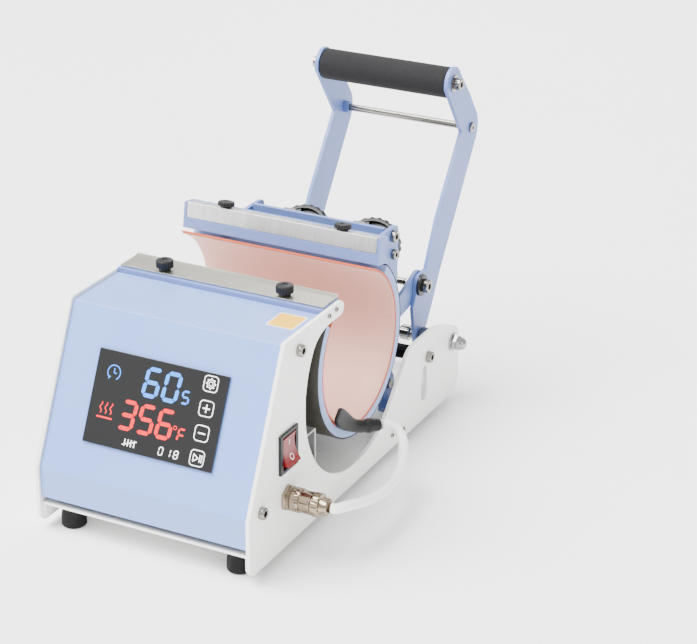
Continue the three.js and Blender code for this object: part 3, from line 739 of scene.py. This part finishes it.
def screen():
    blue, red, white = [], [], []
    for k, ch in enumerate("60"):
        blue += digit(ch, -13.5 + 16 * k, 69, 19, 10.5, 3.0)
    blue += digit("5", 18, 69.5, 8.5, 5.2, 1.5, 0.2)
    for k, ch in enumerate("356"):
        red += digit(ch, -28 + 15.5 * k, 42.5, 19, 10.5, 3.0)
    red += digit("F", 20.5, 43, 8.5, 4.8, 1.5, 0.2) + ring2(17.6, 51.4, 1.3, 0.6, n=14)
    # clock with a run-back arrow
    blue += ring2(-39.5, 79.5, 5.2, 0.8, -60, 230)
    blue += [bar2((-39.5, 79.2), end, 0.8, False) for end in ((-39.5, 82.6), (-37.2, 79.2))]
    blue += [[Vector((-43.9, 76.8)), Vector((-41.4, 76.4)), Vector((-43.2, 74.2))]]
    # heat: three rising waves over a bar
    for k in range(3):
        x = -44.6 + 4.2 * k
        wave = [(x + 0.9 * math.sin(s * 1.5), 49.5 + s * 1.35) for s in range(7)]
        red += [bar2(a, b, 0.9, False) for a, b in zip(wave, wave[1:])]
    red += [bar2((-47, 46.6), (-34, 46.6), 1.3, False)]
    # cycle count: tally bars and three small figures
    white += [bar2((-20 + 2.6 * k, 30.5), (-20 + 2.6 * k, 35.5), 0.9, False) for k in range(4)]
    white += [bar2((-22, 31), (-10.4, 35), 0.8, False)]
    for k, ch in enumerate("018"):
        white += digit(ch, 8 + 6.2 * k, 30.3, 5.4, 3.2, 0.8, 0.15)
    # keys
    keys = ((38.6, 87.2), (38.8, 69.6), (39, 52), (39.2, 34.4))
    for x, z in keys:
        white += key2(x, z)
    x, z = keys[0]
    white += ring2(x, z, 1.5, 0.6, n=16) + ring2(x, z, 2.9, 0.6, n=20)
    white += [
        bar2(
            (x + 2.9 * math.cos(a), z + 2.9 * math.sin(a)),
            (x + 4.0 * math.cos(a), z + 4.0 * math.sin(a)),
            1.1,
            False,
        )
        for a in (math.pi / 4 * k for k in range(8))
    ]
    x, z = keys[1]
    white += [bar2((x - 2.9, z), (x + 2.9, z), 1, False), bar2((x, z - 2.9), (x, z - 0.5), 1, False)]
    white += [bar2((x, z + 0.5), (x, z + 2.9), 1, False)]
    x, z = keys[2]
    white += [bar2((x - 2.9, z), (x + 2.9, z), 1, False)]
    x, z = keys[3]
    corners = [(x - 3, z - 2.7), (x - 3, z + 2.7), (x + 0.9, z)]
    white += [bar2(a, b, 0.7, False) for a, b in zip(corners, corners[1:] + corners[:1])]
    white += [bar2((x + px, z - 2.7), (x + px, z + 2.7), 0.8, False) for px in (2.1, 3.7)]
    on_screen("screen_blue_figures", blue, "led_blue")
    on_screen("screen_red_figures", red, "led_red")
    on_screen("screen_white_marks", white, "led_white")


screen()


# ---- Switch, label, inlet ----------------------------------------------------------------


def rocker_marks():
    """Bar and ring, the usual on and off marks, on the rocker's two halves."""
    throw = math.radians(22)
    turn = Matrix.Translation(mm(86, 55, 83)) @ Matrix.Rotation(-throw / 2, 4, "Y")

    # The rocker's face as a curve: x against height, as drawn in the CAD source.
    def face_x(z):
        t = (11 - z) / 22
        return (1 - t) ** 2 * 8 + 2 * t * (1 - t) * 2 + t * t * 8 + 0.12

    def patch(u, z):
        return turn @ Vector((face_x(z) / 1000, u / 1000, z / 1000))

    points, faces = [], []
    points += [patch(-0.6, 3.6), patch(0.6, 3.6), patch(0.6, 7.6), patch(-0.6, 7.6)]
    faces.append([0, 1, 2, 3])
    for shape in ring2(0, -5.6, 2.1, 0.8, n=24):
        start = len(points)
        points += [patch(p.x, p.y) for p in shape]
        faces.append([start, start + 1, start + 2, start + 3])
    marks = piece("rocker_marks", points, faces, ["mark"], "switch_rocker")
    solid = marks.modifiers.new("thin", "SOLIDIFY")
    solid.thickness = 0.00004


def blank_label():
    """A plain yellow sticker with a white border on the flat top, with nothing on it."""
    x, y, w, h, corner = 69, 92, 22, 24, 2
    points, faces, indices = [], [], []
    for inset, z in ((0, 163.02), (0, 163.1), (0.9, 163.1), (0.9, 163.12)):
        for k, (sx, sy) in enumerate(((1, 1), (-1, 1), (-1, -1), (1, -1))):
            for j in range(7):
                a = math.radians(90 * k + 15 * j)
                r = corner - inset
                points.append(
                    mm(
                        x + sx * (w / 2 - corner) + r * math.cos(a),
                        y + sy * (h / 2 - corner) + r * math.sin(a),
                        z,
                    )
                )
    n = 28
    for k in range(3):
        for i in range(n):
            j = (i + 1) % n
            faces.append([k * n + i, k * n + j, (k + 1) * n + j, (k + 1) * n + i])
            indices.append(1)
    faces.append([3 * n + i for i in range(n)])
    indices.append(0)
    piece("blank_label", points, faces, ["label", "label_edge"], "machine", indices)


def inlet_pins():
    y, z = 58, 62
    for k, dy in enumerate((-7, 0, 7)):
        zc = z + (-1 if dy else 1)
        outline = [(y + dy - 1.05, zc - 2.05), (y + dy + 1.05, zc - 2.05), (y + dy + 1.05, zc + 2.05)]
        outline.append((y + dy - 1.05, zc + 2.05))
        prism(f"inlet_pin_{k}", outline, -86.1, -74.1, "brass", "machine", 0.3)
    for k, dy in enumerate((-19.5, 19.5)):
        place = along(mm(-91.3, y + dy, z), (-1, 0, 0))
        rings = [(0, 0.02), (3.1, 0.02), (2.9, 0.7), (1.8, 1.2), (1.5, 0.7, hexagon()), (0, 0.7)]
        spun(f"inlet_screw_{k}", place, rings, ["zinc"], "machine", 24)


rocker_marks()
blank_label()
inlet_pins()


# ---- Screws, nuts, shafts ----------------------------------------------------------------


def sided(name, point, body, **settings):
    """The same screw on the right and left side, heads outwards."""
    made = []
    for side, sign in (("right", 1), ("left", -1)):
        seat = (sign * point[0], point[1], point[2])
        made.append(cap_screw(f"{name}_{side}", seat, (sign, 0, 0), body, **settings))
    return made


def stand_for(obj, node):
    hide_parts(node)


def cover_screws():
    for row, at in (("lower", (16.7, 50.9)), ("upper", (73, 152.6))):
        pair = sided(f"cover_cap_screw_{row}", (89.05, *at), "machine", r=4.6, h=4, shank=8)
        for obj, side in zip(pair, ("right", "left")):
            stand_for(obj, f"cover_screw_{row}_{side}")
    for k, at in enumerate(((129, 162), (118, 161), (225, 17.6), (245, 14.2))):
        sided(f"plate_screw_{k}", (89.05, *at), "machine", r=1.9, h=1.6, key=1.0)


def rod_with_heads(name, node, at, half, head_r, head_h, body, middle=3.0, washer=0.0, key=2.6):
    """A through rod with a socket head at each end, as one piece."""
    rim = ribs(0.12)
    out = half + (1.2 if washer else 0)
    right = [(middle, half - 0.4), (head_r - 0.3, half)]
    if washer:
        right = [(middle, half - 0.02), (washer, half), (washer, half + 1), (head_r - 0.3, out)]
    right += [
        (head_r, out + 0.3, rim),
        (head_r, out + head_h - 0.6, rim),
        (head_r - 0.6, out + head_h),
        (key * 1.12, out + head_h),
        (key, out + head_h - 0.3, SOCKET),
        (key, out + head_h - min(2.4, head_h - 0.6), SOCKET),
        (0, out + head_h - min(2.6, head_h - 0.4)),
    ]
    left = [(ring[0], -ring[1], *ring[2:]) for ring in right][::-1]
    obj = spun(name, along(mm(0, *at), (1, 0, 0)), left + right, ["zinc"], body)
    stand_for(obj, node)
    return obj


def acorn_nuts():
    for side, sign in (("right", 1), ("left", -1)):
        place = along(mm(sign * 89.05, 336, 53), (sign, 0, 0))
        dome = [(5.0 * math.cos(a), 8.2 + 4.6 * math.sin(a)) for a in (0, 0.3, 0.6, 0.9, 1.2, 1.42)]
        rings = [
            (0, 0.02),
            (7.6, 0.02),
            (7.6, 1.2),
            (7.2, 1.5),
            (6.2, 1.6, hexagon()),
            (6.6, 2.0, hexagon()),
            (6.6, 6.6, hexagon()),
            (6.1, 7.3, hexagon()),
            (5.3, 7.6),
            *dome,
            (0, 12.75),
        ]
        stand_for(spun(f"domed_nut_{side}", place, rings, ["chrome"], "machine", 48), f"acorn_nut_{side}")


def hook_bolts():
    for side, sign in (("right", 1), ("left", -1)):
        place = along(mm(0, 335, 98), (sign, 0, 0))
        rim = ribs(0.12)
        rings = [
            (0, 46.4),
            (2.8, 46.4),
            (3.0, 46.9),
            (3.0, 48.0),
            (5.6, 48.0, hexagon()),
            (6.0, 48.4, hexagon()),
            (6.0, 52.4, hexagon()),
            (5.6, 52.8, hexagon()),
            (6.6, 52.85),
            (6.6, 53.4),
            (3.0, 53.45),
            (3.0, 60.2),
            (9.0, 60.25, None, 1),
            (9.0, 62.1, None, 1),
            (8.6, 62.4, None, 1),
            (5.3, 62.4, None, 1),
            (5.5, 62.7, rim),
            (5.5, 67.6, rim),
            (4.9, 68.3),
            (3.2, 68.3),
            (2.9, 68.0, SOCKET),
            (2.9, 65.4, SOCKET),
            (0, 65.0),
        ]
        obj = spun(f"hook_pivot_bolt_{side}", place, rings, ["zinc", "black_screw"], "lever")
        stand_for(obj, f"hook_bolt_{side}")


def shaft_spacers():
    """Knurled collars on the lever shaft between each lever arm and side plate."""
    for side, sign in (("right", 1), ("left", -1)):
        place = along(mm(0, 336, 53), (sign, 0, 0))
        knurl = ribs(0.25)
        rings = [(4.05, 61.2), (6.9, 61.2), (7.1, 61.5, knurl), (7.1, 67.5, knurl), (6.9, 67.8)]
        rings += [(5.6, 68.0), (5.6, 72.0, hexagon()), (6.4, 72.2, hexagon()), (6.4, 78, hexagon())]
        rings += [(5.8, 78.4), (5.0, 78.6), (5.0, 85.7), (4.05, 85.7)]
        spun(f"shaft_spacer_{side}", place, rings, ["zinc"], "machine", 60)
        rings = [(4.05, 44), (6.2, 44), (6.4, 44.3), (6.4, 51.4), (5.9, 51.8), (4.05, 51.8)]
        spun(f"shaft_collar_{side}", place, rings, ["chrome"], "machine", 40)


cover_screws()
acorn_nuts()
hook_bolts()
shaft_spacers()
rod_with_heads("stop_tie_rod", "stop_bar_rod", (289, 59), 89.05, 4.6, 4.2, "machine")
rod_with_heads("upper_cross_shaft", "frame_cross_shaft", (278, 161), 61.55, 4.8, 3.8, "clamp_frame", 4.0)
rod_with_heads("lever_cross_rod", "cross_rod", (427.6, 205), 60.05, 4.4, 2.0, "lever", 2.9, 0, 1.6)
rod_with_heads("grip_through_bolt", "grip_rod", (391, 253), 60.05, 4.9, 5.6, "lever", 3.0, 7.0)
sided("frame_arm_screw", (61.55, 279, 145.5), "clamp_frame", r=4.2, h=3.4, key=2.1)


# ---- Knobs and hand wheels ---------------------------------------------------------------


def knob(name, place, node, depth, height, body):
    rim = ribs(0.45, 4)
    foot = 0.15 * height
    rings = [
        (0, -depth, None, 1),
        (2.4, -depth, None, 1),
        (2.4, 0.02, None, 1),
        (4.4, 0.02),
        (4.5, 0.3),
        (4.5, foot + 0.1),
        (5.9, 1.6 * foot),
        (6.6, 2 * foot, rim),
        (6.6, height - 1.0, rim),
        (6.1, height - 0.4),
        (5.2, height - 0.1),
        (2.5, height),
        (2.2, height - 0.6),
        (0, height - 0.6),
    ]
    obj = spun(name, place, rings, ["plastic", "zinc"], body, 72)
    stand_for(obj, node)


JAW = Matrix.Translation(mm(0, 205.5, 166.6)) @ Matrix.Rotation(math.radians(-10), 4, "X")
for side, x in (("left", -50.5), ("right", 50.5)):
    top = Matrix.Translation(mm(x, 123, 168))
    knob(f"ledge_thumb_screw_{side}", top, f"front_knob_{side}", 8, 8, f"front_knob_{side}")
    top = JAW @ Matrix.Translation(Vector((x, 4.7, 21.0)) / 1000)
    knob(f"bar_thumb_screw_{side}", top, f"rear_knob_{side}", 17, 5, f"rear_knob_{side}")


WHEEL_ALONG = 31  # mm along the rod from the clamp frame's cross pin
CROSS_PIN = (278, 161)
HOOK_BOLT = (335, 98)


def hand_wheels():
    """Ribbed wheels with curved slots moulded in both faces."""
    axis = Vector((0, HOOK_BOLT[0] - CROSS_PIN[0], HOOK_BOLT[1] - CROSS_PIN[1])).normalized()
    for side, x in (("left", -31), ("right", 31)):
        centre = mm(x, CROSS_PIN[0] + axis.y * WHEEL_ALONG, CROSS_PIN[1] + axis.z * WHEEL_ALONG)
        place = along(centre, axis)
        rim = ribs(0.8, 6)
        segments = 144
        slot = [i for i in range(segments) if i % 48 in range(6, 42)]
        points, faces = [], []
        profile = [
            (4.35, -5.5), (8.6, -5.5), (9.4, -5.0), (10.0, -4.2),
            (10.4, -4.2), (21.2, -4.2), (21.7, -4.9), (23.6, -5.0), (25.2, -4.4),
            (26.0, -3.4), (26.0, 3.4), (25.2, 4.4), (23.6, 5.0), (21.7, 4.9),
            (21.2, 4.2), (10.4, 4.2), (10.0, 4.2), (9.4, 5.0), (8.6, 5.5), (4.35, 5.5),
        ]
        deep = {4, 5, 14, 15}
        for k, (r, h) in enumerate(profile):
            for i in range(segments):
                a = 2 * math.pi * i / segments
                rr = rim(r, a, i) if r > 25 else r
                hh = h - math.copysign(2.6, h) if k in deep and i in slot else h
                points.append(place @ (Vector((rr * math.cos(a), rr * math.sin(a), hh)) / 1000))
        rows = len(profile)
        for k in range(rows):
            for i in range(segments):
                j, m = (i + 1) % segments, (k + 1) % rows
                faces.append([k * segments + i, k * segments + j, m * segments + j, m * segments + i])
        obj = piece(f"hand_wheel_{side}", points, faces, ["plastic"], f"wheel_{side}", sharp=38)
        stand_for(obj, f"pressure_wheel_{side}")


hand_wheels()


# ---- Heater wrap -------------------------------------------------------------------------


def wrap_layer(name, radii, start, end, materials, bands, half=84.0, ripple=0.0):
    """A sheet bent round the mug space, in one piece from the box to the clamp frame.
    radii are its inner and outer faces; bands are the materials of inside, outside and edges."""
    step = 2.5
    count = int(round((end - start) / step))
    across = [-half, -half + 0.5, *(-half + half / 8 * k for k in range(1, 16)), half - 0.5, half]
    inner, outer = radii
    points, faces, indices = [], [], []
    rows = len(across)
    for i in range(count + 1):
        degrees = start + (end - start) * i / count
        a = math.radians(degrees)
        soft = math.exp(-(((degrees - 332) / 14) ** 2))
        for x in across:
            edge = 0.35 if abs(x) == half else 0.0
            wave = ripple * (math.sin(x / 11 + degrees / 9) + soft * 1.5 * math.sin(degrees / 2.2))
            for r in (inner + edge + wave, outer - edge):
                points.append(mm(x, 179 + r * math.cos(a), 109 + r * math.sin(a)))

    def at(i, j, k):
        return (i * rows + j) * 2 + k

    for i in range(count):
        for j in range(rows - 1):
            faces.append([at(i, j, 0), at(i, j + 1, 0), at(i + 1, j + 1, 0), at(i + 1, j, 0)])
            indices.append(bands[0])
            faces.append([at(i, j, 1), at(i + 1, j, 1), at(i + 1, j + 1, 1), at(i, j + 1, 1)])
            indices.append(bands[1])
        for j in (0, rows - 1):
            face = [at(i, j, 0), at(i + 1, j, 0), at(i + 1, j, 1), at(i, j, 1)]
            faces.append(face if j == 0 else face[::-1])
            indices.append(bands[2])
    for i in (0, count):
        for j in range(rows - 1):
            face = [at(i, j, 0), at(i, j, 1), at(i, j + 1, 1), at(i, j + 1, 0)]
            faces.append(face if i == 0 else face[::-1])
            indices.append(bands[2])
    obj = piece(name, points, faces, materials, None, indices, sharp=40)
    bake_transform(obj)
    return obj


liner = wrap_layer("heater_liner", (58.5, 59.6), 129, 426.5, ["liner"], (0, 0, 0), 83.6, 0.06)
mat = wrap_layer("heater_mat", (59.65, 61.0), 128, 427.5, ["mat"], (0, 0, 0))
stand_for(mat, "front_heater_mat")
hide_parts("rear_heater_mat")
pad = wrap_layer("heater_sponge", (61.1, 67.6), 143, 410, ["pad"], (0, 0, 0))
stand_for(pad, "front_heater_pad")
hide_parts("rear_heater_pad")
# The skin's outer face takes the dark olive painted shade; its inside and edges are black rubber.
skin = wrap_layer("heater_outer_skin", (67.65, 68.6), 143, 410, ["skin", "rubber"], (1, 0, 1))


# ---- Studio ------------------------------------------------------------------------------


def studio():
    size = 6
    mesh = bpy.data.meshes.new("floor")
    signs = ((-1, -1), (1, -1), (1, 1), (-1, 1))
    corners = [(sx * size, sy * size, -0.0002) for sx, sy in signs]
    mesh.from_pydata(corners, [], [[0, 1, 2, 3]])
    n = Nodes("pale floor")
    slow = n.noise(400, 2.0)
    n.link(n.mix(slow, srgb(249, 249, 249), srgb(251, 251, 251)), n.shader.inputs["Base Color"])
    n.link(n.ramp(slow, 0.3, 0.7, 0.6, 0.7), n.shader.inputs["Roughness"])
    mesh.materials.append(n.material)
    floor = bpy.data.objects.new("floor", mesh)
    bpy.context.scene.collection.objects.link(floor)
    world = bpy.data.worlds.new("studio")
    world.use_nodes = True
    background = world.node_tree.nodes["Background"]
    background.inputs["Color"].default_value = (1, 1, 1, 1)
    background.inputs["Strength"].default_value = 1.3
    bpy.context.scene.world = world
    aim = Vector((0, 0, 0.1))
    sun = bpy.data.lights.new("sun", "SUN")
    sun.energy = 9.0
    sun.angle = 0.9
    lamp = bpy.data.objects.new("sun", sun)
    lamp.rotation_euler = Vector((0.45, 0.3, -1)).to_track_quat("-Z", "Y").to_euler()
    bpy.context.scene.collection.objects.link(lamp)
    for name, place, energy, width in (
        ("key", (-0.9, -0.7, 1.6), 24, 0.9),
        ("fill", (1.4, -1.0, 1.1), 7, 0.9),
        ("back", (-0.4, 1.5, 1.2), 9, 0.8),
    ):
        light = bpy.data.lights.new(name, "AREA")
        light.energy = energy
        light.size = width
        lamp = bpy.data.objects.new(name, light)
        lamp.location = place
        lamp.rotation_euler = (aim - Vector(place)).to_track_quat("-Z", "Y").to_euler()
        bpy.context.scene.collection.objects.link(lamp)


studio()
